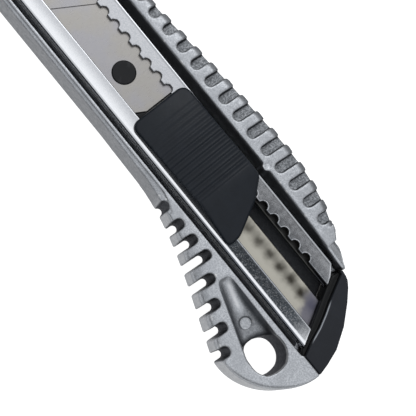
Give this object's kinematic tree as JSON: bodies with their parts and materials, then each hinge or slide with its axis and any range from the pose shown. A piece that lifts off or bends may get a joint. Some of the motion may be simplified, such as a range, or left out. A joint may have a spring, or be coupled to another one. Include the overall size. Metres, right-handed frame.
{
  "type": "utility knife",
  "caption": "Snap-off utility knife: cast metal handle with a finger comb and lanyard hole, steel guide channel, spring-locked thumb slider, blade and end cap.",
  "frame": {"origin": "on the flat back, under the channel's centre line, 70 mm ahead of the rearmost point of the handle", "axes": "+X along the channel towards the blade tip, +Y towards the cutting edge, +Z out of the thumb side"},
  "size_m": [0.1795, 0.05, 0.0151],
  "materials": {
    "cast_metal": "tumbled satin casting",
    "channel_steel": "polished sheet steel",
    "rivet_steel": "plain",
    "black_plastic": "moulded, fine texture",
    "slider_plastic": "moulded, fine texture",
    "spring_steel": "plain",
    "blade_steel": "ground"
  },
  "bodies": {
    "handle": {"body_casting": "cast_metal", "guide_channel": "channel_steel", "channel_rivets": "rivet_steel"},
    "slider": {"thumb_slider": "slider_plastic", "blade_carrier": "black_plastic", "blade": "blade_steel"},
    "lock": {"lock_spring": "spring_steel"},
    "cap": {"end_cap": "black_plastic"}
  },
  "joints": [
    {"name": "slider_travel", "type": "slide", "parent": "handle", "child": "slider", "axis": [1, 0, 0], "range_m": [-0.01748, 0.06118]},
    {"name": "lock_release", "type": "hinge", "parent": "slider", "child": "lock", "pos_m": [0.007, -0.0039, 0.0094], "axis": [0, 0, -1], "range_deg": [0, 5.5], "stiffness_Nm_per_rad": 0.05},
    {"name": "end_cap_pull", "type": "slide", "parent": "handle", "child": "cap", "axis": [-1, 0, 0], "range_m": [0, 0.025]}
  ]
}
